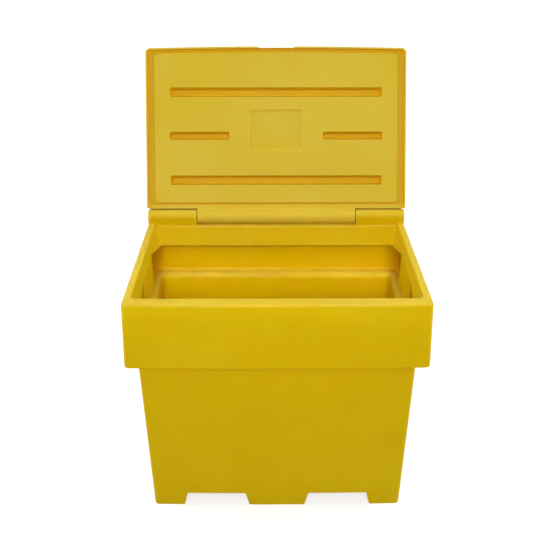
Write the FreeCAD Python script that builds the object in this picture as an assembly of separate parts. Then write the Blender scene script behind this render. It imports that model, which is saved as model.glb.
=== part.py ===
import FreeCAD, Part
import math
import os

V = FreeCAD.Vector

# Driving dimensions in millimetres and degrees.
# Frame: X across, +Y to the back, +Z up, origin on the ground under the middle of the feet.

# Bin moulding
rim_width = 800.0
rim_depth = 534.0
rim_height = 724.0
band_height = 195.0
band_flare = 8.0
step_in = 31.0
base_taper = 7.0
front_bow = 5.0
wall = 5.0
corner_radius = 13.0
rim_round = 9.0
mouth_round = 4.0
band_edge_round = 4.0
inner_corner_radius = 14.0
side_rim_width = 21.0
front_rim_width = 30.0
lip_height = 70.0
lip_lean = 12.0
lip_corner_radius = 14.0
ledge_round = 3.0
rail_setback = 3.0
rail_end_chamfer = 2.0

# Pallet-truck pockets that run from front to back
pocket_spacing = 362.0
pocket_mouth_width = 196.0
pocket_roof_width = 174.0
pocket_height = 47.0
pocket_round = 5.0
foot_round = 4.0

# Hand-holds in the sides of the band
handhold_length = 146.0
handhold_height = 92.0
handhold_draft = 5.0
handhold_top_below_rim = 39.0
handhold_round = 10.0

# Hinge
hinge_radius = 22.0
hinge_axis_above_rim = 13.0
knuckle_length = 492.0
knuckle_end_gap = 2.5
knuckle_web_angle = 53.0
knuckle_web_rise = 6.0
knuckle_heel_round = 5.0
ledge_gap = 0.5
rod_diameter = 12.0
rod_running_clearance = 0.05
rod_end_inset = 8.0
rod_chamfer = 1.0
plug_diameter = 20.0
plug_head = 5.0
plug_spigot_length = 2.5
plug_fit_clearance = 0.05
plug_chamfer = 0.8
opening_angle = 115.3

# Lid moulding
lid_thickness = 40.0
lid_side_overhang = 3.5
lid_front_overhang = 6.0
lid_corner_radius = 14.0
lid_back_corner_radius = 8.0
lid_draft = 2.0
lid_edge_round = 11.0
crown_inset = 62.0
crown_height = 6.0
crown_corner_radius = 30.0
crown_edge = 1.5
skirt_lap = 3.0
seat_gap = 0.6
seat_groove_depth = 7.4
lid_back_gap = 2.5
back_border = 11.5
back_drip_reach = 5.0
back_drip_height = 4.5
panel_back_gap = 5.5
panel_front_inset = 15.0
panel_side_inset = 25.5
panel_corner_radius = 12.0
panel_round = 2.5
channel_depth = 20.0
channel_draft = 6.0
channel_round = 5.0
long_channel_length = 660.0
long_channel_width = 30.0
short_channel_length = 187.0
short_channel_width = 25.0
short_channel_offset = 238.0
front_channel_from_axis = 384.0
middle_channel_from_axis = 250.0
back_channel_from_axis = 112.0
recess_width = 175.0
recess_length = 130.0
recess_depth = 4.5
recess_draft = 7.0
recess_round = 10.0
recess_from_axis = 267.0
notch_width = 113.0
notch_depth = 3.8
notch_height = 16.0
notch_round = 3.0

# Sizes that follow from the ones above.
half_width = rim_width / 2
front_y = -rim_depth / 2
back_y = rim_depth / 2
band_bottom = rim_height - band_height
axis_y = back_y - hinge_radius
axis_z = rim_height + hinge_axis_above_rim
rail_front_y = axis_y - hinge_radius
ledge_z = axis_z - hinge_radius - ledge_gap
rail_inner_x = knuckle_length / 2 + knuckle_end_gap
mouth_half_width = half_width - side_rim_width
mouth_front_y = front_y + front_rim_width
mouth_back_y = rail_front_y - rail_setback
handhold_top = rim_height - handhold_top_below_rim
bore_radius = rod_diameter / 2 + rod_running_clearance
skirt_z = rim_height - skirt_lap
face_z = rim_height + seat_gap
groove_z = face_z + seat_groove_depth
shoulder_z = groove_z + lid_thickness - crown_height
crown_z = shoulder_z + crown_height
lid_back_y = rail_front_y - lid_back_gap
skirt_front_y = front_y - lid_front_overhang
skirt_half_width = half_width + lid_side_overhang
shelf_round = 0.64 * step_in
chamber_floor_round = 0.3 * step_in
bow_radius = (half_width ** 2 + front_bow ** 2) / (2 * front_bow)
bow_centre_y = front_y - front_bow + bow_radius

# Allowances for picking edges and for letting cutting tools stand clear of what they cut.
tiny = 0.01
clear = 1.0


def box(x0, x1, y0, y1, z0, z1):
    return Part.makeBox(x1 - x0, y1 - y0, z1 - z0, V(x0, y0, z0))


def block(first, second):
    """Flat-sided solid between two four-cornered sections, drawn anticlockwise as seen from the second."""
    faces = [first[::-1], second]
    for i in range(4):
        j = (i + 1) % 4
        faces.append([first[i], first[j], second[j], second[i]])
    return Part.Solid(Part.Shell([Part.Face(Part.makePolygon(face + face[:1])) for face in faces]))


def prism_along_x(points, x0, x1):
    """Solid with a straight-edged section in the YZ plane."""
    corners = [V(x0, y, z) for y, z in points]
    face = Part.Face(Part.makePolygon(corners + corners[:1]))
    return face.extrude(V(x1 - x0, 0, 0))


def cylinder_along_x(radius, x0, x1):
    """Cylinder about the hinge axis."""
    return Part.makeCylinder(radius, x1 - x0, V(x0, axis_y, axis_z), V(1, 0, 0))


def mirrored(shape):
    return shape.mirror(V(0, 0, 0), V(1, 0, 0))


def edges_where(solid, test):
    """Edges of a solid whose bounding box passes a test."""
    return [edge for edge in solid.Edges if test(edge.BoundBox)]


def level(bounds, z):
    """True for an edge that lies in the plane at this height."""
    return abs(bounds.ZMin - z) < tiny and abs(bounds.ZMax - z) < tiny


def bowed_block(lower, upper, front_radius, back_radius):
    """Block between two sections, each half width, front, back and height, with a bowed front."""

    def corners(half, front, back, z):
        foremost = front - 2 * front_bow
        return [V(-half, foremost, z), V(half, foremost, z), V(half, back, z), V(-half, back, z)]

    lower_z = lower[3]
    upper_z = upper[3]
    lower_reach = bow_centre_y - (lower[1] - front_bow)
    upper_reach = bow_centre_y - (upper[1] - front_bow)
    if abs(lower_reach - upper_reach) < tiny:
        bow = Part.makeCylinder(lower_reach, upper_z - lower_z, V(0, 0, 0))
    else:
        bow = Part.makeCone(lower_reach, upper_reach, upper_z - lower_z, V(0, 0, 0))
    bow.rotate(V(0, 0, 0), V(0, 0, 1), 90)
    bow.translate(V(0, bow_centre_y, lower_z))
    solid = block(corners(*lower), corners(*upper)).common(bow)
    middle_y = (lower[1] + lower[2]) / 2
    for front, radius in ((True, front_radius), (False, back_radius)):
        uprights = edges_where(
            solid,
            lambda b: b.ZLength > (upper_z - lower_z) / 2
            and b.XMin * b.XMax > clear
            and (b.YMax < middle_y) == front,
        )
        solid = solid.makeFillet(radius, uprights)
    return solid


def band_section(inset, z):
    """Section of the band at a height, moved in by a wall."""
    out = band_flare * (rim_height - z) / band_height - inset
    return (half_width + out, front_y - out, back_y + out, z)


def tub_section(inset, z):
    """Section of the tub below the band at a height, moved in by a wall."""
    out = band_flare - step_in - base_taper * (band_bottom - z) / band_bottom - inset
    return (half_width + out, front_y - out, back_y + out, z)


def lip_half_width(drop):
    """Half width of the mouth at a depth below the rim."""
    return mouth_half_width - lip_lean * drop / lip_height


def mouth_block(inset, lower_drop, upper_drop):
    """Space of the mouth between two depths below the rim, on the leaning lip."""

    def section(drop):
        half = lip_half_width(drop) - inset
        front = mouth_front_y + lip_lean * drop / lip_height + inset
        back = mouth_back_y - lip_lean * drop / lip_height - inset
        z = rim_height - drop
        return [V(-half, front, z), V(half, front, z), V(half, back, z), V(-half, back, z)]

    mouth = block(section(lower_drop), section(upper_drop))
    return mouth.makeFillet(lip_corner_radius - inset, edges_where(mouth, lambda b: b.ZLength > lip_height / 2))


def pocket(centre_x, extra):
    """Trapezoid tunnel under the tub, grown by a wall where extra is given."""
    mouth = pocket_mouth_width / 2 + extra
    roof = pocket_roof_width / 2 + extra
    reach = rim_depth
    section = [
        V(centre_x - mouth, -reach, -extra),
        V(centre_x + mouth, -reach, -extra),
        V(centre_x + roof, -reach, pocket_height + extra),
        V(centre_x - roof, -reach, pocket_height + extra),
    ]
    tunnel = Part.Face(Part.makePolygon(section + section[:1])).extrude(V(0, 2 * reach, 0))
    roof_edges = edges_where(tunnel, lambda b: b.YLength > reach and level(b, pocket_height + extra))
    return tunnel.makeFillet(pocket_round + extra, roof_edges)


def handhold(extra):
    """Finger recess in the right side of the band, grown by a wall where extra is given."""
    top = handhold_top + extra
    bottom = handhold_top - handhold_height - extra
    inner_x = lip_half_width(handhold_top_below_rim) + wall - extra
    outer_x = half_width + 2 * band_flare
    spread = handhold_draft * (outer_x - inner_x) / (half_width - inner_x)

    def section(x, grow):
        y = handhold_length / 2 + extra + grow
        low = bottom - grow
        high = top + grow
        return [V(x, -y, low), V(x, y, low), V(x, y, high), V(x, -y, high)]

    recess = block(section(inner_x, 0), section(outer_x, spread))
    return recess.makeFillet(handhold_round + extra, edges_where(recess, lambda b: b.XLength > clear))


def both_handholds(extra):
    recess = handhold(extra)
    return [recess, mirrored(recess)]


def both_pockets(extra):
    return [pocket(side * pocket_spacing / 2, extra) for side in (-1, 1)]


def step_edges(solid, section, z):
    """Edges of the step between the tub and the band, at the tub's outline."""
    half, front, back = section[:3]
    return edges_where(
        solid,
        lambda b: level(b, z)
        and max(-b.XMin, b.XMax) < half + tiny
        and b.YMin > front - front_bow - tiny
        and b.YMax < back + tiny,
    )


def bin_outside():
    """Outer form of the tub and the stepped band round it."""
    tub = bowed_block(tub_section(0, 0), tub_section(0, band_bottom + wall), corner_radius, corner_radius)
    band = bowed_block(band_section(0, band_bottom), band_section(0, rim_height), corner_radius, corner_radius)
    band = band.makeFillet(rim_round, edges_where(band, lambda b: level(b, rim_height)))
    band = band.makeFillet(band_edge_round, edges_where(band, lambda b: level(b, band_bottom)))
    outside = tub.fuse(band)
    return outside.makeFillet(shelf_round - wall, step_edges(outside, tub_section(0, band_bottom), band_bottom))


def bin_hollow():
    """Space inside the moulding at one wall from the outside."""
    shelf_z = band_bottom + wall
    radius = inner_corner_radius
    chamber = bowed_block(band_section(wall, shelf_z), band_section(wall, rim_height - wall), radius, radius)
    chamber = chamber.makeFillet(chamber_floor_round, edges_where(chamber, lambda b: level(b, shelf_z)))
    tub = bowed_block(tub_section(wall, wall), tub_section(wall, shelf_z + wall), radius, radius)
    hollow = chamber.fuse(tub)
    hollow = hollow.makeFillet(shelf_round, step_edges(hollow, tub_section(wall, shelf_z), shelf_z))
    back_ledge = box(
        -half_width,
        half_width,
        mouth_back_y - wall,
        back_y + 2 * band_flare,
        ledge_z - wall,
        rim_height,
    )
    for solid in [back_ledge] + both_pockets(wall) + both_handholds(wall):
        hollow = hollow.cut(solid)
    return hollow


def lip():
    """Wall that hangs inwards from the rim, cut higher along the sides to clear the hand-holds."""
    skin = mouth_block(-wall, lip_height, wall)
    high = handhold_top + wall / 2
    low = rim_height - lip_height - clear
    reach = handhold_length / 2 + wall
    relief = [
        (mouth_front_y + lip_lean + lip_corner_radius, low),
        (-reach, high),
        (reach, high),
        (mouth_back_y - lip_lean - lip_corner_radius, low),
    ]
    return skin.cut(prism_along_x(relief, -rim_width, rim_width))


def mouth_tool():
    """Space of the mouth and everything above the rim, with the rim's inner edge rounded off."""
    mouth = mouth_block(0, lip_height + clear, 0)
    above = box(-rim_width, rim_width, -rim_depth, rim_depth, rim_height, rim_height + wall)
    tool = mouth.fuse(above)
    edges = edges_where(tool, lambda b: level(b, rim_height) and max(abs(b.XMin), abs(b.XMax)) < half_width)
    return tool.makeFillet(mouth_round, edges)


def ledge_tool():
    """Space above the lower ledge at the back, where the hinge lies, with its front edge rounded off."""
    above = box(
        -mouth_half_width,
        mouth_half_width,
        mouth_back_y - lip_corner_radius,
        back_y + 2 * band_flare,
        ledge_z,
        rim_height + wall,
    )
    edge_y = mouth_back_y - lip_lean * (rim_height - ledge_z) / lip_height
    reach = mouth_half_width - lip_corner_radius
    corner = box(
        -reach,
        reach,
        edge_y - ledge_round,
        edge_y + ledge_round,
        ledge_z - ledge_round,
        ledge_z + wall,
    )
    round_bar = Part.makeCylinder(
        ledge_round,
        2 * reach,
        V(-reach, edge_y + ledge_round, ledge_z - ledge_round),
        V(1, 0, 0),
    )
    return above.fuse(corner.cut(round_bar))


def hinge_rail():
    """Round-topped rail that rises from the back of the rim on the right of the lid's knuckle."""
    foot = rim_height - rim_round - wall
    post = box(rail_inner_x, half_width, rail_front_y, back_y, foot, axis_z)
    rail = post.fuse(cylinder_along_x(hinge_radius, rail_inner_x, half_width)).removeSplitter()
    end_edges = edges_where(
        rail,
        lambda b: b.XLength < tiny and b.XMin > half_width - tiny and b.ZMax > foot + clear,
    )
    return rail.makeChamfer(rail_end_chamfer, end_edges)


def make_bin_body():
    """One hollow moulding: tub, band, inward lip, feet, hand-holds and hinge rails."""
    body = bin_outside()
    for solid in both_pockets(0) + both_handholds(0):
        body = body.cut(solid)
    outermost = (pocket_spacing + pocket_mouth_width) / 2 + clear
    foot_edges = edges_where(body, lambda b: level(b, 0) and b.YLength > rim_depth / 2 and abs(b.XMin) < outermost)
    body = body.makeFillet(foot_round, foot_edges)
    body = body.cut(bin_hollow()).fuse(lip())
    body = body.cut(mouth_tool()).cut(ledge_tool())
    rail = hinge_rail()
    body = body.fuse(rail).fuse(mirrored(rail)).removeSplitter()
    body = body.cut(cylinder_along_x(bore_radius, -half_width - clear, half_width + clear))
    seat = cylinder_along_x(
        plug_diameter / 2 + plug_fit_clearance,
        half_width - plug_head,
        half_width + clear,
    )
    return body.cut(seat).cut(mirrored(seat))


def lid_block():
    """Outer form of the shut lid below its crown, with a drip edge along the top of its back."""
    drip_y = lid_back_y + back_drip_reach

    def section(z):
        draft = lid_draft * (z - skirt_z) / (shoulder_z - skirt_z)
        return (skirt_half_width - draft, skirt_front_y + draft, drip_y, z)

    solid = bowed_block(section(skirt_z), section(shoulder_z), lid_corner_radius, lid_back_corner_radius)
    back_edge_y = drip_y - lid_back_corner_radius
    solid = solid.makeFillet(
        lid_edge_round,
        edges_where(solid, lambda b: level(b, shoulder_z) and b.YMin < back_edge_y),
    )
    under_drip = box(
        -rim_width,
        rim_width,
        lid_back_y,
        drip_y + clear,
        skirt_z - clear,
        shoulder_z - back_drip_height,
    )
    return solid.cut(under_drip)


def crown():
    """Raised middle of the lid's top."""
    half = half_width - crown_inset
    front = front_y + crown_inset
    back = axis_y - crown_inset
    raised = box(-half, half, front, back, shoulder_z - clear, crown_z)
    raised = raised.makeFillet(crown_corner_radius, edges_where(raised, lambda b: b.ZLength > clear))
    raised = raised.makeChamfer(crown_height, edges_where(raised, lambda b: level(b, crown_z)))
    return raised.makeChamfer(crown_edge, edges_where(raised, lambda b: level(b, crown_z)))


def seat_panel():
    """Panel on the lid's underside that the rim fits round."""

    def section(z):
        return (
            skirt_half_width - panel_side_inset,
            skirt_front_y + panel_front_inset,
            lid_back_y - back_border - panel_back_gap,
            z,
        )

    panel = bowed_block(section(face_z), section(groove_z + clear), panel_corner_radius, panel_corner_radius)
    return panel.makeFillet(panel_round, edges_where(panel, lambda b: level(b, face_z)))


def skirt_hollow():
    """Groove between the lid's skirt and its panel, and the relief over the rim at the back."""
    half = skirt_half_width - wall
    front = skirt_front_y + wall
    back = lid_back_y - back_border
    radius = lid_corner_radius - wall
    hollow = bowed_block((half, front, back, skirt_z - clear), (half, front, back, groove_z), radius, radius)
    relief = box(-half, half, back - lid_corner_radius, lid_back_y + clear, skirt_z - clear, face_z)
    return hollow.fuse(relief)


def tapered_recess(length, width, depth, draft, round_, centre_x, from_axis, extra):
    """Recess with sloping walls in the underside of the shut lid, grown by a wall."""
    spread = draft * clear / depth
    centre_y = axis_y - from_axis

    def section(grow, z):
        x = length / 2 + grow + extra
        y = width / 2 + grow + extra
        return [
            V(centre_x - x, centre_y - y, z),
            V(centre_x + x, centre_y - y, z),
            V(centre_x + x, centre_y + y, z),
            V(centre_x - x, centre_y + y, z),
        ]

    recess = block(section(spread, face_z - clear), section(-draft, face_z + depth + extra))
    return recess.makeFillet(round_ + extra, edges_where(recess, lambda b: b.ZLength > depth))


def lid_recesses(extra):
    """Two long channels, two short ones and the middle recess."""
    channel = (channel_depth, channel_draft, channel_round)
    recess = (recess_depth, recess_draft, recess_round)
    long_channel = (long_channel_length, long_channel_width) + channel
    short_channel = (short_channel_length, short_channel_width) + channel
    middle_recess = (recess_width, recess_length) + recess
    return [
        tapered_recess(*long_channel, 0, front_channel_from_axis, extra),
        tapered_recess(*long_channel, 0, back_channel_from_axis, extra),
        tapered_recess(*short_channel, -short_channel_offset, middle_channel_from_axis, extra),
        tapered_recess(*short_channel, short_channel_offset, middle_channel_from_axis, extra),
        tapered_recess(*middle_recess, 0, recess_from_axis, extra),
    ]


def lid_void():
    """Sealed space between the lid's two skins, with plain corners."""
    half = skirt_half_width - lid_draft - lid_edge_round
    front = skirt_front_y + lid_draft + lid_edge_round
    floor_z = groove_z + wall
    ceiling_z = shoulder_z - wall
    void = box(-half, half, front, lid_back_y - wall, floor_z, ceiling_z)
    crown_side = half_width - crown_inset - crown_height - wall
    crown_front = front_y + crown_inset + crown_height + wall
    crown_back = axis_y - crown_inset - crown_height - wall
    void = void.fuse(box(-crown_side, crown_side, crown_front, crown_back, ceiling_z - clear, crown_z - wall))
    panel_half = skirt_half_width - panel_side_inset - wall
    panel_front = skirt_front_y + panel_front_inset + wall
    panel_back = lid_back_y - back_border - panel_back_gap - wall
    void = void.fuse(box(-panel_half, panel_half, panel_front, panel_back, face_z + wall, floor_z + clear))
    for recess in lid_recesses(wall):
        void = void.cut(recess)
    return void


def finger_notch():
    """Relief for fingers in the middle of the skirt's front."""
    edge_y = skirt_front_y - front_bow
    notch = box(
        -notch_width / 2,
        notch_width / 2,
        edge_y - notch_depth,
        edge_y + notch_depth,
        skirt_z - notch_height,
        skirt_z + notch_height,
    )
    upright_edges = edges_where(notch, lambda b: b.YMin > edge_y and b.ZLength > clear)
    return notch.makeFillet(notch_round, upright_edges)


def knuckle():
    """Barrel in the middle of the hinge, with a flat heel that bears on the ledge when the lid is open."""
    half = knuckle_length / 2
    barrel = cylinder_along_x(hinge_radius, -half, half)
    turn = math.radians(opening_angle)
    web_turn = math.radians(knuckle_web_angle)
    heel_y = axis_y + hinge_radius * math.sin(turn)
    heel_z = axis_z - hinge_radius * math.cos(turn)
    corner_y = heel_y + (shoulder_z - heel_z) * math.cos(turn) / math.sin(turn)
    front = lid_back_y - clear
    points = [
        (axis_y, axis_z),
        (heel_y, heel_z),
        (corner_y, shoulder_z),
        (front, shoulder_z),
        (front, axis_z - hinge_radius + knuckle_web_rise),
        (axis_y - hinge_radius * math.cos(web_turn), axis_z - hinge_radius * math.sin(web_turn)),
    ]
    whole = barrel.fuse(prism_along_x(points, -half, half)).removeSplitter()
    heel_edges = edges_where(
        whole,
        lambda b: b.XLength > half and level(b, shoulder_z) and abs(b.YMin - corner_y) < tiny,
    )
    return whole.makeFillet(knuckle_heel_round, heel_edges)


def make_lid():
    """Twin-skinned lid, built shut and then turned open about the hinge axis."""
    lid = lid_block().fuse(crown()).cut(skirt_hollow()).fuse(seat_panel()).fuse(knuckle())
    for recess in lid_recesses(0):
        lid = lid.cut(recess)
    lid = lid.cut(finger_notch()).cut(cylinder_along_x(bore_radius, -half_width, half_width))
    lid = lid.removeSplitter().cut(lid_void())
    lid.rotate(V(0, axis_y, axis_z), V(1, 0, 0), -opening_angle)
    return lid


def make_rod():
    """Steel rod that carries the lid."""
    end = half_width - rod_end_inset
    rod = cylinder_along_x(rod_diameter / 2, -end, end)
    return rod.makeChamfer(rod_chamfer, edges_where(rod, lambda b: b.XLength < tiny))


def make_plug():
    """Push-in plug that closes the right end of the rod's bore."""
    head_x = half_width - plug_head + plug_fit_clearance
    head = cylinder_along_x(plug_diameter / 2, head_x, half_width)
    rims = edges_where(head, lambda b: b.XLength < tiny and b.XMin > half_width - tiny)
    spigot = cylinder_along_x(
        rod_diameter / 2 - plug_fit_clearance,
        half_width - plug_head - plug_spigot_length,
        head_x + clear,
    )
    return head.makeChamfer(plug_chamfer, rims).fuse(spigot).removeSplitter()


plug = make_plug()
pieces = {
    "bin_body": make_bin_body(),
    "lid": make_lid(),
    "hinge_rod": make_rod(),
    "hinge_plug_left": mirrored(plug),
    "hinge_plug_right": plug,
}

os.makedirs("parts", exist_ok=True)
for name, shape in pieces.items():
    solid = shape.Solids[0]
    if len(shape.Solids) != 1 or not solid.isValid():
        raise RuntimeError(name + " is not one valid solid")
    solid.exportStep("parts/" + name + ".step")
    print(name, round(solid.Volume / 1e6, 4), "litres")
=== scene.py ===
import math

import bmesh
import bpy
from bpy.props import FloatProperty, FloatVectorProperty, PointerProperty
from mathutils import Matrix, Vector

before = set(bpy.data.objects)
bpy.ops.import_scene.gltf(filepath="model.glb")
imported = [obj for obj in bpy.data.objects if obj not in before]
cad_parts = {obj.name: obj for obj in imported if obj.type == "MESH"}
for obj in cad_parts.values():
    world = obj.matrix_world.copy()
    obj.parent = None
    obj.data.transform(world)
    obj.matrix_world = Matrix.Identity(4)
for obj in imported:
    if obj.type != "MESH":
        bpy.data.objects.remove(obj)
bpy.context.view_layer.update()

bl_info = {
    "name": "Grit bin",
    "version": (1, 0, 0),
    "blender": (4, 5, 0),
    "location": "View3D > Sidebar > Grit bin",
    "description": "Finishes and studio for a yellow plastic grit bin with a hinged lid",
    "category": "Object",
}

FLOAT = "NodeSocketFloat"
COLOUR = "NodeSocketColor"
VECTOR = "NodeSocketVector"

EDGE_WEAR = "Edge wear"
MOULDED_SKIN = "Moulded skin"

WHITE = (1.0, 1.0, 1.0)
UP = (0.0, 0.0, 1.0)

# Patterns read Object coordinates, so a noise scale is in waves per metre.
CLOUD_SCALE = 3.2
RIPPLE_SCALE = 7.0
STREAK_SCALE = 11.0
SCUFF_SCALE = 22.0
PLUG_CLOUD_SCALE = 90.0
PEEL_SCALE = 260.0
POWDER_SCALE = 420.0
DRAWN_LINE_SCALE = (3.0, 900.0, 900.0)

# Values of a noise between which nearly all of it lies
NOISE_LOW = 0.3
NOISE_HIGH = 0.7

# How far clouds, powder and scuffs move the roughness of the skin from its mean
CLOUD_ROUGHNESS = 0.05
POWDER_ROUGHNESS = 0.03
SCUFF_ROUGHNESS = 0.08

# Cosine between the rounded and the true normal, on a flat face and on the ridge of an edge
FLAT_COSINE = 0.995
EDGE_COSINE = 0.86

# Share of open space round a point, out on a face and down in a groove, between which the painted shade
# grows
OPEN_SHARE = 0.93
GROOVE_SHARE = 0.5

# Cosine between a face and the sky where the painted sheen (a paler colour in place of reflection) starts
# and where it is full
PAINTED_SHEEN_START = 0.1
PAINTED_SHEEN_FULL = 0.7

# About the normal of the lid's inner panel as it stands open, the side that takes the lid's painted sheen.
# The lid's top faces the other way.
LID_FACING = (0.0, -0.89, 0.455)

# Moves the patterns on the lid, so that they don't run on from those on the bin
LID_PATTERN_SHIFT = (5.0, 3.0, 1.0)

# Least and most roughness of the rod and of the plugs
ROD_ROUGHNESS = (0.24, 0.38)
PLUG_ROUGHNESS = (0.38, 0.5)

SENSOR_WIDTH_MM = 36.0


class PlasticProperties(bpy.types.PropertyGroup):
    """Look of the two yellow mouldings."""

    colour: FloatVectorProperty(
        name="Colour",
        description="Colour of the polyethylene",
        subtype="COLOR",
        size=3,
        min=0.0,
        max=1.0,
        default=(0.71, 0.480, 0.0015),
    )
    faded_colour: FloatVectorProperty(
        name="Faded colour",
        description="Colour of patches that are a little paler",
        subtype="COLOR",
        size=3,
        min=0.0,
        max=1.0,
        default=(0.74, 0.515, 0.005),
    )
    deep_colour: FloatVectorProperty(
        name="Deep colour",
        description="Colour of patches that are a little darker",
        subtype="COLOR",
        size=3,
        min=0.0,
        max=1.0,
        default=(0.66, 0.425, 0.001),
    )
    # Painted sheen: a paler colour on the sides that face the sky, in place of the reflection they catch
    painted_sheen_colour: FloatVectorProperty(
        name="Painted sheen colour",
        description="Paler colour of the sides that face the sky",
        subtype="COLOR",
        size=3,
        min=0.0,
        max=1.0,
        default=(0.75, 0.555, 0.065),
    )
    # Painted sheen: how much of that paler colour the sides that face the sky take
    painted_sheen_share: FloatProperty(
        name="Painted sheen share",
        description="Share of the sun-faded colour on the sides that face the sky",
        subtype="FACTOR",
        min=0.0,
        max=1.0,
        default=0.75,
    )
    worn_colour: FloatVectorProperty(
        name="Worn colour",
        description="Paler colour of scuffed edges",
        subtype="COLOR",
        size=3,
        min=0.0,
        max=1.0,
        default=(0.80, 0.63, 0.11),
    )
    # Painted shade: a deeper orange in grooves and inner corners, in place of the shade and the bounced
    # light there
    painted_shade_colour: FloatVectorProperty(
        name="Painted shade colour",
        description="Deeper colour in grooves and inner corners, where light bounces inside",
        subtype="COLOR",
        size=3,
        min=0.0,
        max=1.0,
        default=(0.76, 0.43, 0.001),
    )
    hollow_reach: FloatProperty(
        name="Hollow reach",
        description="Size of the grooves and corners that take the deeper colour",
        subtype="DISTANCE",
        unit="LENGTH",
        min=0.0,
        default=0.03,
    )
    wear_width: FloatProperty(
        name="Wear width",
        description="Reach of the scuffs from an edge",
        subtype="DISTANCE",
        unit="LENGTH",
        min=0.0,
        default=0.005,
    )
    wear_amount: FloatProperty(
        name="Wear amount",
        description="Strength of the scuffs along the edges",
        subtype="FACTOR",
        min=0.0,
        max=1.0,
        default=0.4,
    )
    wear_breakup: FloatProperty(
        name="Wear breakup",
        description="How far the line of scuffs is broken up",
        subtype="FACTOR",
        min=0.0,
        max=1.0,
        default=0.4,
    )
    glow: FloatProperty(
        name="Translucency",
        description="Share of the light that scatters inside the plastic",
        subtype="FACTOR",
        min=0.0,
        max=1.0,
        default=0.35,
    )
    glow_depth: FloatProperty(
        name="Translucency depth",
        description="Depth that red light reaches inside the plastic",
        subtype="DISTANCE",
        unit="LENGTH",
        min=0.0,
        default=0.012,
    )
    glow_reach: FloatVectorProperty(
        name="Translucency reach",
        description="Share of that depth for red, green and blue light",
        size=3,
        min=0.0,
        max=1.0,
        default=(1.0, 0.6, 0.05),
    )
    shine: FloatProperty(
        name="Shine",
        description="Strength of the satin skin's reflections",
        subtype="FACTOR",
        min=0.0,
        max=1.0,
        default=0.035,
    )
    roughness: FloatProperty(
        name="Roughness",
        description="Mean roughness of the satin skin",
        subtype="FACTOR",
        min=0.0,
        max=1.0,
        default=0.44,
    )
    ripple_depth: FloatProperty(
        name="Ripple depth",
        description="Height of the slow waves that moulding leaves in the walls",
        subtype="DISTANCE",
        unit="LENGTH",
        min=0.0,
        default=0.0006,
    )
    grain_depth: FloatProperty(
        name="Grain depth",
        description="Height of the fine orange-peel grain",
        subtype="DISTANCE",
        unit="LENGTH",
        min=0.0,
        default=0.00006,
    )


class HingeProperties(bpy.types.PropertyGroup):
    """Look of the hinge rod and its plugs."""

    steel_colour: FloatVectorProperty(
        name="Steel colour",
        description="Colour of the zinc-plated rod",
        subtype="COLOR",
        size=3,
        min=0.0,
        max=1.0,
        default=(0.55, 0.56, 0.57),
    )
    line_depth: FloatProperty(
        name="Line depth",
        description="Height of the drawn lines along the rod",
        subtype="DISTANCE",
        unit="LENGTH",
        min=0.0,
        default=0.00002,
    )
    plug_colour: FloatVectorProperty(
        name="Plug colour",
        description="Colour of the moulded plugs",
        subtype="COLOR",
        size=3,
        min=0.0,
        max=1.0,
        default=(0.66, 0.42, 0.003),
    )
    plug_shade: FloatProperty(
        name="Plug shade",
        description="Brightness of the darker clouds in the plugs, as a share of their colour",
        subtype="FACTOR",
        min=0.0,
        max=1.0,
        default=0.9,
    )
    plug_grain_depth: FloatProperty(
        name="Plug grain depth",
        description="Height of the grain on the plugs",
        subtype="DISTANCE",
        unit="LENGTH",
        min=0.0,
        default=0.00004,
    )


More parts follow.
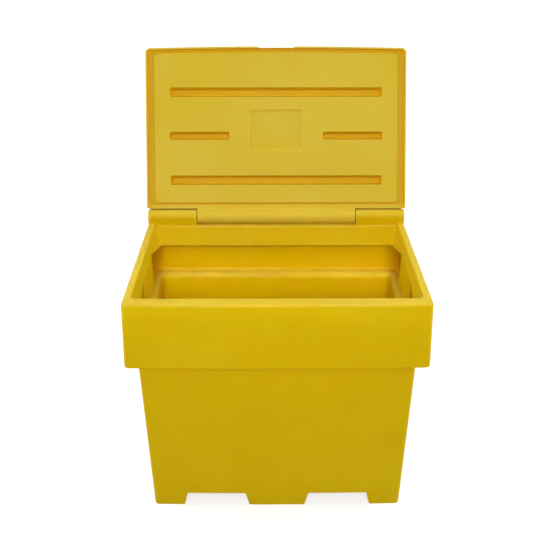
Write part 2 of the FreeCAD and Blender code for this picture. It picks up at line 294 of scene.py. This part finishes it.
class StudioProperties(bpy.types.PropertyGroup):
    """Camera, floor and lamps."""

    focal_length: FloatProperty(
        name="Focal length",
        description="Focal length on a 36 mm wide sensor",
        unit="CAMERA",
        min=1.0,
        default=48.27,
    )
    camera_position: FloatVectorProperty(
        name="Camera position",
        description="Place of the lens",
        subtype="TRANSLATION",
        unit="LENGTH",
        size=3,
        default=(-0.0132, -1.8721, 1.6951),
    )
    camera_pitch: FloatProperty(
        name="Camera pitch",
        description="Angle of the view below level",
        subtype="ANGLE",
        unit="ROTATION",
        default=math.radians(28.06),
    )
    camera_yaw: FloatProperty(
        name="Camera yaw",
        description="Turn of the view to the left of straight ahead",
        subtype="ANGLE",
        unit="ROTATION",
        default=-0.0044,
    )
    camera_shift: FloatProperty(
        name="Camera shift",
        description="Shift of the frame along its height",
        default=-0.02,
    )
    floor_size: FloatProperty(
        name="Floor size",
        description="Width of the floor",
        subtype="DISTANCE",
        unit="LENGTH",
        default=14.0,
    )
    floor_colour: FloatVectorProperty(
        name="Floor colour",
        description="Colour of the floor that the bin stands on",
        subtype="COLOR",
        size=3,
        min=0.0,
        max=1.0,
        default=(0.6, 0.6, 0.6),
    )
    floor_roughness: FloatProperty(
        name="Floor roughness",
        description="Roughness of the floor",
        subtype="FACTOR",
        min=0.0,
        max=1.0,
        default=0.9,
    )
    floor_lift: FloatProperty(
        name="Floor lift",
        description="Glow that takes the lit floor to white for the camera",
        subtype="FACTOR",
        min=0.0,
        max=1.0,
        default=0.62,
    )
    white_start: FloatProperty(
        name="White start",
        description="Distance from the bin's middle at which the floor starts to turn plain white",
        subtype="DISTANCE",
        unit="LENGTH",
        min=0.0,
        default=1.0,
    )
    white_end: FloatProperty(
        name="White end",
        description="Distance from the bin's middle from which the floor is plain white",
        subtype="DISTANCE",
        unit="LENGTH",
        min=0.0,
        default=3.0,
    )
    sky_strength: FloatProperty(
        name="Sky strength",
        description="Even light from all round",
        min=0.0,
        default=0.15,
    )
    front_power: FloatProperty(
        name="Front lamp power",
        description="Power of the large soft lamp over the camera",
        subtype="POWER",
        unit="POWER",
        min=0.0,
        default=43.5,
    )
    sheen_power: FloatProperty(
        name="Sheen lamp power",
        description="Power of the soft lamp that the open lid faces",
        subtype="POWER",
        unit="POWER",
        min=0.0,
        default=8.0,
    )
    top_power: FloatProperty(
        name="Top lamp power",
        description="Power of the soft lamp over the bin",
        subtype="POWER",
        unit="POWER",
        min=0.0,
        default=8.5,
    )
    mouth_power: FloatProperty(
        name="Mouth lamp power",
        description="Power of the small lamp that shines into the mouth",
        subtype="POWER",
        unit="POWER",
        min=0.0,
        default=0.25,
    )
    mouth_spread: FloatProperty(
        name="Mouth lamp spread",
        description="Width of the beam that shines into the mouth",
        subtype="ANGLE",
        unit="ROTATION",
        default=math.radians(9.0),
    )
    back_power: FloatProperty(
        name="Back lamp power",
        description="Power of the soft lamp behind the bin",
        subtype="POWER",
        unit="POWER",
        min=0.0,
        default=26.0,
    )
    left_power: FloatProperty(
        name="Left lamp power",
        description="Power of the soft lamp on the left",
        subtype="POWER",
        unit="POWER",
        min=0.0,
        default=25.0,
    )
    right_power: FloatProperty(
        name="Right lamp power",
        description="Power of the soft lamp on the right",
        subtype="POWER",
        unit="POWER",
        min=0.0,
        default=26.5,
    )


class ShaderMaker:
    """Adds nodes to a material or a group and links them in one call each."""

    # The Mix node has sockets for each kind of data, and these are the places of those for colours.
    MIX_FIRST = 6
    MIX_SECOND = 7
    MIX_RESULT = 2

    def __init__(self, tree):
        self.tree = tree

    def add(self, kind, settings=None, **inputs):
        """New node with its settings and inputs. An underscore stands for a space in an input's name."""
        node = self.tree.nodes.new(kind)
        for name, value in (settings or {}).items():
            setattr(node, name, value)
        for name, value in inputs.items():
            self.feed(node, name.replace("_", " "), value)
        return node

    def feed(self, node, socket, value):
        """Links an output to an input, or sets the input to a number, a vector or a colour."""
        target = node.inputs[socket]
        if isinstance(value, bpy.types.NodeSocket):
            self.tree.links.new(value, target)
        elif target.type == "RGBA":
            target.default_value = (*value, 1.0)
        else:
            target.default_value = value

    def use_group(self, name):
        """Node that holds one of the shared groups."""
        return self.add("ShaderNodeGroup", {"node_tree": bpy.data.node_groups[name]})

    def math(self, operation, first, second=0.0):
        """One step of arithmetic."""
        node = self.add("ShaderNodeMath", {"operation": operation})
        self.feed(node, 0, first)
        self.feed(node, 1, second)
        return node.outputs[0]

    def dot(self, first, second):
        """Dot product of two vectors."""
        node = self.add("ShaderNodeVectorMath", {"operation": "DOT_PRODUCT"})
        self.feed(node, 0, first)
        self.feed(node, 1, second)
        return node.outputs["Value"]

    def noise(self, position, scale, detail=3.0, roughness=0.5):
        """Cloudy value between zero and one, mostly near a half."""
        node = self.add(
            "ShaderNodeTexNoise", Vector=position, Scale=scale, Detail=detail, Roughness=roughness
        )
        return node.outputs["Fac"]

    def spread(self, value, start, end, at_start=0.0, at_end=1.0):
        """Goes from at_start to at_end while the value goes from start to end, and stays level outside."""
        node = self.add("ShaderNodeMapRange")
        self.feed(node, "Value", value)
        self.feed(node, "From Min", start)
        self.feed(node, "From Max", end)
        self.feed(node, "To Min", at_start)
        self.feed(node, "To Max", at_end)
        return node.outputs["Result"]

    def mix(self, factor, first, second):
        """Colour that goes from the first to the second as the factor goes from zero to one."""
        node = self.add("ShaderNodeMix", {"data_type": "RGBA"}, Factor=factor)
        self.feed(node, self.MIX_FIRST, first)
        self.feed(node, self.MIX_SECOND, second)
        return node.outputs[self.MIX_RESULT]

    def bump(self, height):
        """Normal of a surface that is raised by a height in metres."""
        node = self.add("ShaderNodeBump", Height=height, Distance=1.0, Strength=1.0)
        return node.outputs["Normal"]


def new_group(name, inputs, outputs):
    """Empty shader group with its sockets, given as name and type pairs, and its two end nodes."""
    group = bpy.data.node_groups.new(name, "ShaderNodeTree")
    for socket, kind in inputs:
        group.interface.new_socket(socket, in_out="INPUT", socket_type=kind)
    for socket, kind in outputs:
        group.interface.new_socket(socket, in_out="OUTPUT", socket_type=kind)
    make = ShaderMaker(group)
    return make, make.add("NodeGroupInput").outputs, make.add("NodeGroupOutput")


def make_edge_wear_group():
    """Mask that is one along outer and inner edges, broken up by scuffs."""
    make, given, made = new_group(
        EDGE_WEAR,
        [("Position", VECTOR), ("Width", FLOAT), ("Breakup", FLOAT)],
        [("Mask", FLOAT)],
    )
    rounded = make.add("ShaderNodeBevel", {"samples": 6}, Radius=given["Width"])
    surface = make.add("ShaderNodeNewGeometry")
    meeting = make.dot(rounded.outputs["Normal"], surface.outputs["Normal"])
    edge = make.spread(meeting, FLAT_COSINE, EDGE_COSINE)
    scuffs = make.noise(given["Position"], SCUFF_SCALE, detail=6.0, roughness=0.7)
    broken = make.spread(scuffs, start=0.3, end=0.75)
    amount = make.mix(given["Breakup"], WHITE, broken)
    make.feed(made, "Mask", make.math("MULTIPLY", edge, amount))


def make_moulded_skin_group():
    """Colour, roughness and height of a rotationally moulded skin, with a painted sheen on the sides that
    face the sky and painted shade in grooves and corners.
    """
    make, given, made = new_group(
        MOULDED_SKIN,
        [
            ("Position", VECTOR),
            ("Wear", FLOAT),
            ("Painted Sheen Share", FLOAT),
            ("Base", COLOUR),
            ("Faded", COLOUR),
            ("Painted Sheen", COLOUR),
            ("Deep", COLOUR),
            ("Worn", COLOUR),
            ("Painted Shade", COLOUR),
            ("Hollow Reach", FLOAT),
            ("Mean Roughness", FLOAT),
            ("Ripple Depth", FLOAT),
            ("Grain Depth", FLOAT),
        ],
        [("Colour", COLOUR), ("Roughness", FLOAT), ("Height", FLOAT)],
    )
    place = given["Position"]
    clouds = make.noise(place, CLOUD_SCALE)
    streaks = make.noise(place, STREAK_SCALE, detail=4.0, roughness=0.6)
    powder = make.noise(place, POWDER_SCALE, detail=2.0)

    pale_clouds = make.spread(clouds, start=0.45, end=0.75)
    colour = make.mix(pale_clouds, given["Base"], given["Faded"])
    deep_streaks = make.spread(streaks, start=0.5, end=0.8, at_end=0.5)
    colour = make.mix(deep_streaks, colour, given["Deep"])
    flecks = make.spread(powder, start=0.62, end=0.8, at_end=0.35)
    colour = make.mix(flecks, colour, given["Faded"])
    # Painted sheen: paler colour on the sides that face the sky, broken into patches by the clouds
    patches = make.spread(clouds, start=0.35, end=0.65, at_start=0.6, at_end=1.0)
    colour = make.mix(make.math("MULTIPLY", given["Painted Sheen Share"], patches), colour, given["Painted Sheen"])
    # Painted shade: the deeper colour grows where ambient occlusion finds a groove or an inner corner
    space = make.add("ShaderNodeAmbientOcclusion", {"samples": 8, "only_local": True})
    make.feed(space, "Distance", given["Hollow Reach"])
    painted_shade = make.spread(space.outputs["AO"], OPEN_SHARE, GROOVE_SHARE)
    colour = make.mix(painted_shade, colour, given["Painted Shade"])
    make.feed(made, "Colour", make.mix(given["Wear"], colour, given["Worn"]))

    dull_clouds = make.spread(clouds, NOISE_LOW, NOISE_HIGH, -CLOUD_ROUGHNESS, CLOUD_ROUGHNESS)
    dull_powder = make.spread(powder, NOISE_LOW, NOISE_HIGH, -POWDER_ROUGHNESS, POWDER_ROUGHNESS)
    dull_scuffs = make.math("MULTIPLY", given["Wear"], SCUFF_ROUGHNESS)
    roughness = given["Mean Roughness"]
    for change in (dull_clouds, dull_powder, dull_scuffs):
        roughness = make.math("ADD", roughness, change)
    make.feed(made, "Roughness", roughness)

    waves = make.noise(place, RIPPLE_SCALE, detail=2.0, roughness=0.4)
    ripple = make.math("MULTIPLY", waves, given["Ripple Depth"])
    peel = make.math("MULTIPLY", make.noise(place, PEEL_SCALE), given["Grain Depth"])
    make.feed(made, "Height", make.math("ADD", ripple, peel))


def build_groups():
    """Makes the shared shader groups, the first time that it is called."""
    if MOULDED_SKIN not in bpy.data.node_groups:
        make_edge_wear_group()
        make_moulded_skin_group()


def new_material(name):
    """New material, the maker of its nodes, its shader and its Object coordinates."""
    material = bpy.data.materials.new(name)
    material.use_nodes = True
    make = ShaderMaker(material.node_tree)
    shader = material.node_tree.nodes["Principled BSDF"]
    place = make.add("ShaderNodeTexCoord").outputs["Object"]
    return material, make, shader, place


# Painted sheen: faces turned towards this direction take the paler colour
def painted_sheen_facing(make, sky, both_sides):
    """How far the surface faces a direction of the piece's own frame, on one side or on both."""
    normal = make.add("ShaderNodeTexCoord").outputs["Normal"]
    upward = make.dot(normal, sky)
    return make.math("ABSOLUTE", upward) if both_sides else upward


def yellow_moulding(name, look, sky, both_sides=False, pattern_shift=(0.0, 0.0, 0.0)):
    """Satin yellow polyethylene, with a painted sheen (a paler colour in place of reflection) on the sides
    that face the sky, open or shut.
    """
    build_groups()
    material, make, shader, place = new_material(name)
    shifted = make.add("ShaderNodeMapping", Vector=place, Location=pattern_shift).outputs["Vector"]
    wear = make.use_group(EDGE_WEAR)
    make.feed(wear, "Position", shifted)
    make.feed(wear, "Width", look.wear_width)
    make.feed(wear, "Breakup", look.wear_breakup)
    # Painted sheen: the more a side faces the sky, the more of the paler colour it takes
    upward = painted_sheen_facing(make, sky, both_sides)
    skin = make.use_group(MOULDED_SKIN)
    for socket, value in (
        ("Position", shifted),
        ("Wear", make.math("MULTIPLY", wear.outputs["Mask"], look.wear_amount)),
        ("Painted Sheen Share", make.spread(upward, PAINTED_SHEEN_START, PAINTED_SHEEN_FULL, at_end=look.painted_sheen_share)),
        ("Base", look.colour),
        ("Faded", look.faded_colour),
        ("Painted Sheen", look.painted_sheen_colour),
        ("Deep", look.deep_colour),
        ("Worn", look.worn_colour),
        ("Painted Shade", look.painted_shade_colour),
        ("Hollow Reach", look.hollow_reach),
        ("Mean Roughness", look.roughness),
        ("Ripple Depth", look.ripple_depth),
        ("Grain Depth", look.grain_depth),
    ):
        make.feed(skin, socket, value)
    make.feed(shader, "Base Color", skin.outputs["Colour"])
    make.feed(shader, "Roughness", skin.outputs["Roughness"])
    make.feed(shader, "Normal", make.bump(skin.outputs["Height"]))
    make.feed(shader, "Specular IOR Level", look.shine)
    make.feed(shader, "Subsurface Weight", look.glow)
    make.feed(shader, "Subsurface Radius", look.glow_reach)
    make.feed(shader, "Subsurface Scale", look.glow_depth)
    return material


def drawn_steel(name, look):
    """Zinc-plated steel with fine lines along the rod."""
    material, make, shader, place = new_material(name)
    drawn = make.add("ShaderNodeMapping", Vector=place, Scale=DRAWN_LINE_SCALE)
    lines = make.noise(drawn.outputs["Vector"], scale=1.0, detail=2.0)
    make.feed(shader, "Base Color", look.steel_colour)
    make.feed(shader, "Metallic", 1.0)
    make.feed(shader, "Roughness", make.spread(lines, NOISE_LOW, NOISE_HIGH, *ROD_ROUGHNESS))
    make.feed(shader, "Normal", make.bump(make.math("MULTIPLY", lines, look.line_depth)))
    return material


def yellow_plug(name, look):
    """Satin yellow of a small injection moulding, with a cloudy tint."""
    material, make, shader, place = new_material(name)
    clouds = make.noise(place, PLUG_CLOUD_SCALE)
    darker = tuple(look.plug_shade * part for part in look.plug_colour)
    tint = make.mix(make.spread(clouds, start=0.4, end=0.7), look.plug_colour, darker)
    make.feed(shader, "Base Color", tint)
    make.feed(shader, "Roughness", make.spread(clouds, NOISE_LOW, NOISE_HIGH, *PLUG_ROUGHNESS))
    make.feed(shader, "Normal", make.bump(make.math("MULTIPLY", clouds, look.plug_grain_depth)))
    return material


def dress(node, material):
    """Gives a CAD node one material."""
    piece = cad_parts[node]
    piece.data.materials.clear()
    piece.data.materials.append(material)


class GRITBIN_OT_dress_body(bpy.types.Operator):
    """Finish the bin moulding"""

    bl_idname = "gritbin.dress_body"
    bl_label = "Finish bin moulding"

    def execute(self, context):
        dress("bin_body", yellow_moulding("Yellow moulding", context.scene.grit_plastic, UP))
        return {"FINISHED"}


class GRITBIN_OT_dress_lid(bpy.types.Operator):
    """Finish the lid moulding"""

    bl_idname = "gritbin.dress_lid"
    bl_label = "Finish lid"

    def execute(self, context):
        material = yellow_moulding(
            "Yellow lid moulding",
            context.scene.grit_plastic,
            LID_FACING,
            both_sides=True,
            pattern_shift=LID_PATTERN_SHIFT,
        )
        dress("lid", material)
        return {"FINISHED"}


class GRITBIN_OT_dress_hinge(bpy.types.Operator):
    """Finish the hinge rod and its plugs"""

    bl_idname = "gritbin.dress_hinge"
    bl_label = "Finish hinge"

    def execute(self, context):
        look = context.scene.grit_hinge
        dress("hinge_rod", drawn_steel("Plated rod", look))
        plug = yellow_plug("Yellow plug", look)
        for side in ("left", "right"):
            dress("hinge_plug_" + side, plug)
        return {"FINISHED"}


class GRITBIN_OT_build_studio(bpy.types.Operator):
    """Set up the floor, the lamps, the background and the camera"""

    bl_idname = "gritbin.build_studio"
    bl_label = "Build studio"

    def execute(self, context):
        studio = context.scene.grit_studio
        build_floor(studio)
        build_world(studio.sky_strength)
        build_lamps(studio)
        build_camera(studio)
        context.scene.view_settings.view_transform = "Standard"
        return {"FINISHED"}


def seen_by_eye(make):
    """One for a ray of the camera, or one that gloss or glass passes on to it."""
    path = make.add("ShaderNodeLightPath")
    seen = make.math("MAXIMUM", path.outputs["Is Camera Ray"], path.outputs["Is Glossy Ray"])
    return make.math("MAXIMUM", seen, path.outputs["Is Transmission Ray"])


def build_floor(studio):
    """Pale floor that turns white for the camera where it is lit."""
    mesh = bpy.data.meshes.new("floor")
    form = bmesh.new()
    bmesh.ops.create_grid(form, x_segments=2, y_segments=2, size=studio.floor_size / 2)
    form.to_mesh(mesh)
    form.free()
    floor = bpy.data.objects.new("floor", mesh)
    bpy.context.scene.collection.objects.link(floor)
    material, make, shader, place = new_material("Pale floor")
    make.feed(shader, "Base Color", studio.floor_colour)
    make.feed(shader, "Roughness", studio.floor_roughness)
    make.feed(shader, "Specular IOR Level", 0.0)
    make.feed(shader, "Emission Color", WHITE)
    reach = make.add("ShaderNodeVectorMath", {"operation": "LENGTH"})
    make.feed(reach, 0, place)
    glow = make.spread(reach.outputs["Value"], studio.white_start, studio.white_end, studio.floor_lift)
    make.feed(shader, "Emission Strength", make.math("MULTIPLY", seen_by_eye(make), glow))
    mesh.materials.append(material)


def build_world(strength):
    """Plain sky that shows as white to the camera, in gloss and through glass."""
    world = bpy.data.worlds.new("Studio sky")
    bpy.context.scene.world = world
    world.use_nodes = True
    make = ShaderMaker(world.node_tree)
    background = world.node_tree.nodes["Background"]
    make.feed(background, "Color", WHITE)
    make.feed(background, "Strength", make.spread(seen_by_eye(make), 0.0, 1.0, at_start=strength))


def build_lamps(studio):
    """Soft lamps on every side. The two at the sides stay out of reflections, or they bleach the lid."""
    add_lamp("Front lamp", studio.front_power, (0.0, -2.4, 2.05), aim=(0.0, 0.1, 0.65), size=(1.5, 0.9))
    add_lamp("Sheen lamp", studio.sheen_power, (0.0, -1.6, 3.0), aim=(0.0, 0.4, 1.0), size=(2.0, 0.8))
    add_lamp("Top lamp", studio.top_power, (0.0, 0.9, 2.9), aim=(0.0, 0.0, 0.7), size=(2.4, 0.6))
    for name, side, power in (("Left lamp", -1, studio.left_power), ("Right lamp", 1, studio.right_power)):
        holder = add_lamp(name, power, (side * 2.4, 0.1, 1.5), aim=(0.0, 0.0, 0.65), size=(0.8, 1.2))
        holder.visible_glossy = False
    add_lamp("Back lamp", studio.back_power, (0.0, 2.6, 1.9), aim=(0.0, 0.2, 0.5), size=(1.6, 0.9))
    mouth = add_lamp(
        "Mouth lamp", studio.mouth_power, (0.0, -1.8, 1.85), aim=(0.0, 0.25, 0.52), size=(0.9, 0.15)
    )
    mouth.data.spread = studio.mouth_spread


def add_lamp(name, power, place, aim, size):
    """Soft lamp at a place, aimed at a point, with its width and height in metres."""
    lamp = bpy.data.lights.new(name, "AREA")
    lamp.shape = "RECTANGLE"
    lamp.size, lamp.size_y = size
    lamp.energy = power
    holder = bpy.data.objects.new(name, lamp)
    holder.location = place
    holder.rotation_euler = (Vector(aim) - Vector(place)).to_track_quat("-Z", "Y").to_euler()
    bpy.context.scene.collection.objects.link(holder)
    return holder


def build_camera(studio):
    """Camera at the photograph's place, for a square picture."""
    lens = bpy.data.cameras.new("camera")
    lens.sensor_width = SENSOR_WIDTH_MM
    lens.lens = studio.focal_length
    lens.shift_y = studio.camera_shift
    camera = bpy.data.objects.new("camera", lens)
    camera.location = studio.camera_position
    camera.rotation_euler = (math.pi / 2 - studio.camera_pitch, 0.0, studio.camera_yaw)
    bpy.context.scene.collection.objects.link(camera)
    bpy.context.scene.camera = camera


class GRITBIN_PT_panel(bpy.types.Panel):
    """Lists the steps and their settings"""

    bl_idname = "GRITBIN_PT_panel"
    bl_label = "Grit bin"
    bl_space_type = "VIEW_3D"
    bl_region_type = "UI"
    bl_category = "Grit bin"

    def draw(self, context):
        scene = context.scene
        for operator in STEPS:
            self.layout.operator(operator.bl_idname)
        for group in (scene.grit_plastic, scene.grit_hinge, scene.grit_studio):
            box = self.layout.box()
            for name in group.__annotations__:
                box.prop(group, name)


STEPS = (
    GRITBIN_OT_dress_body,
    GRITBIN_OT_dress_lid,
    GRITBIN_OT_dress_hinge,
    GRITBIN_OT_build_studio,
)
CLASSES = (PlasticProperties, HingeProperties, StudioProperties) + STEPS + (GRITBIN_PT_panel,)


def register():
    """Makes the classes known, and gives the scene its settings."""
    for item in CLASSES:
        bpy.utils.register_class(item)
    bpy.types.Scene.grit_plastic = PointerProperty(type=PlasticProperties)
    bpy.types.Scene.grit_hinge = PointerProperty(type=HingeProperties)
    bpy.types.Scene.grit_studio = PointerProperty(type=StudioProperties)


def unregister():
    """Takes the settings and the classes away again."""
    del bpy.types.Scene.grit_studio
    del bpy.types.Scene.grit_hinge
    del bpy.types.Scene.grit_plastic
    for item in reversed(CLASSES):
        bpy.utils.unregister_class(item)


def main():
    """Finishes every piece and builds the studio."""
    register()
    bpy.ops.gritbin.dress_body()
    bpy.ops.gritbin.dress_lid()
    bpy.ops.gritbin.dress_hinge()
    bpy.ops.gritbin.build_studio()


if __name__ == "__main__":
    main()
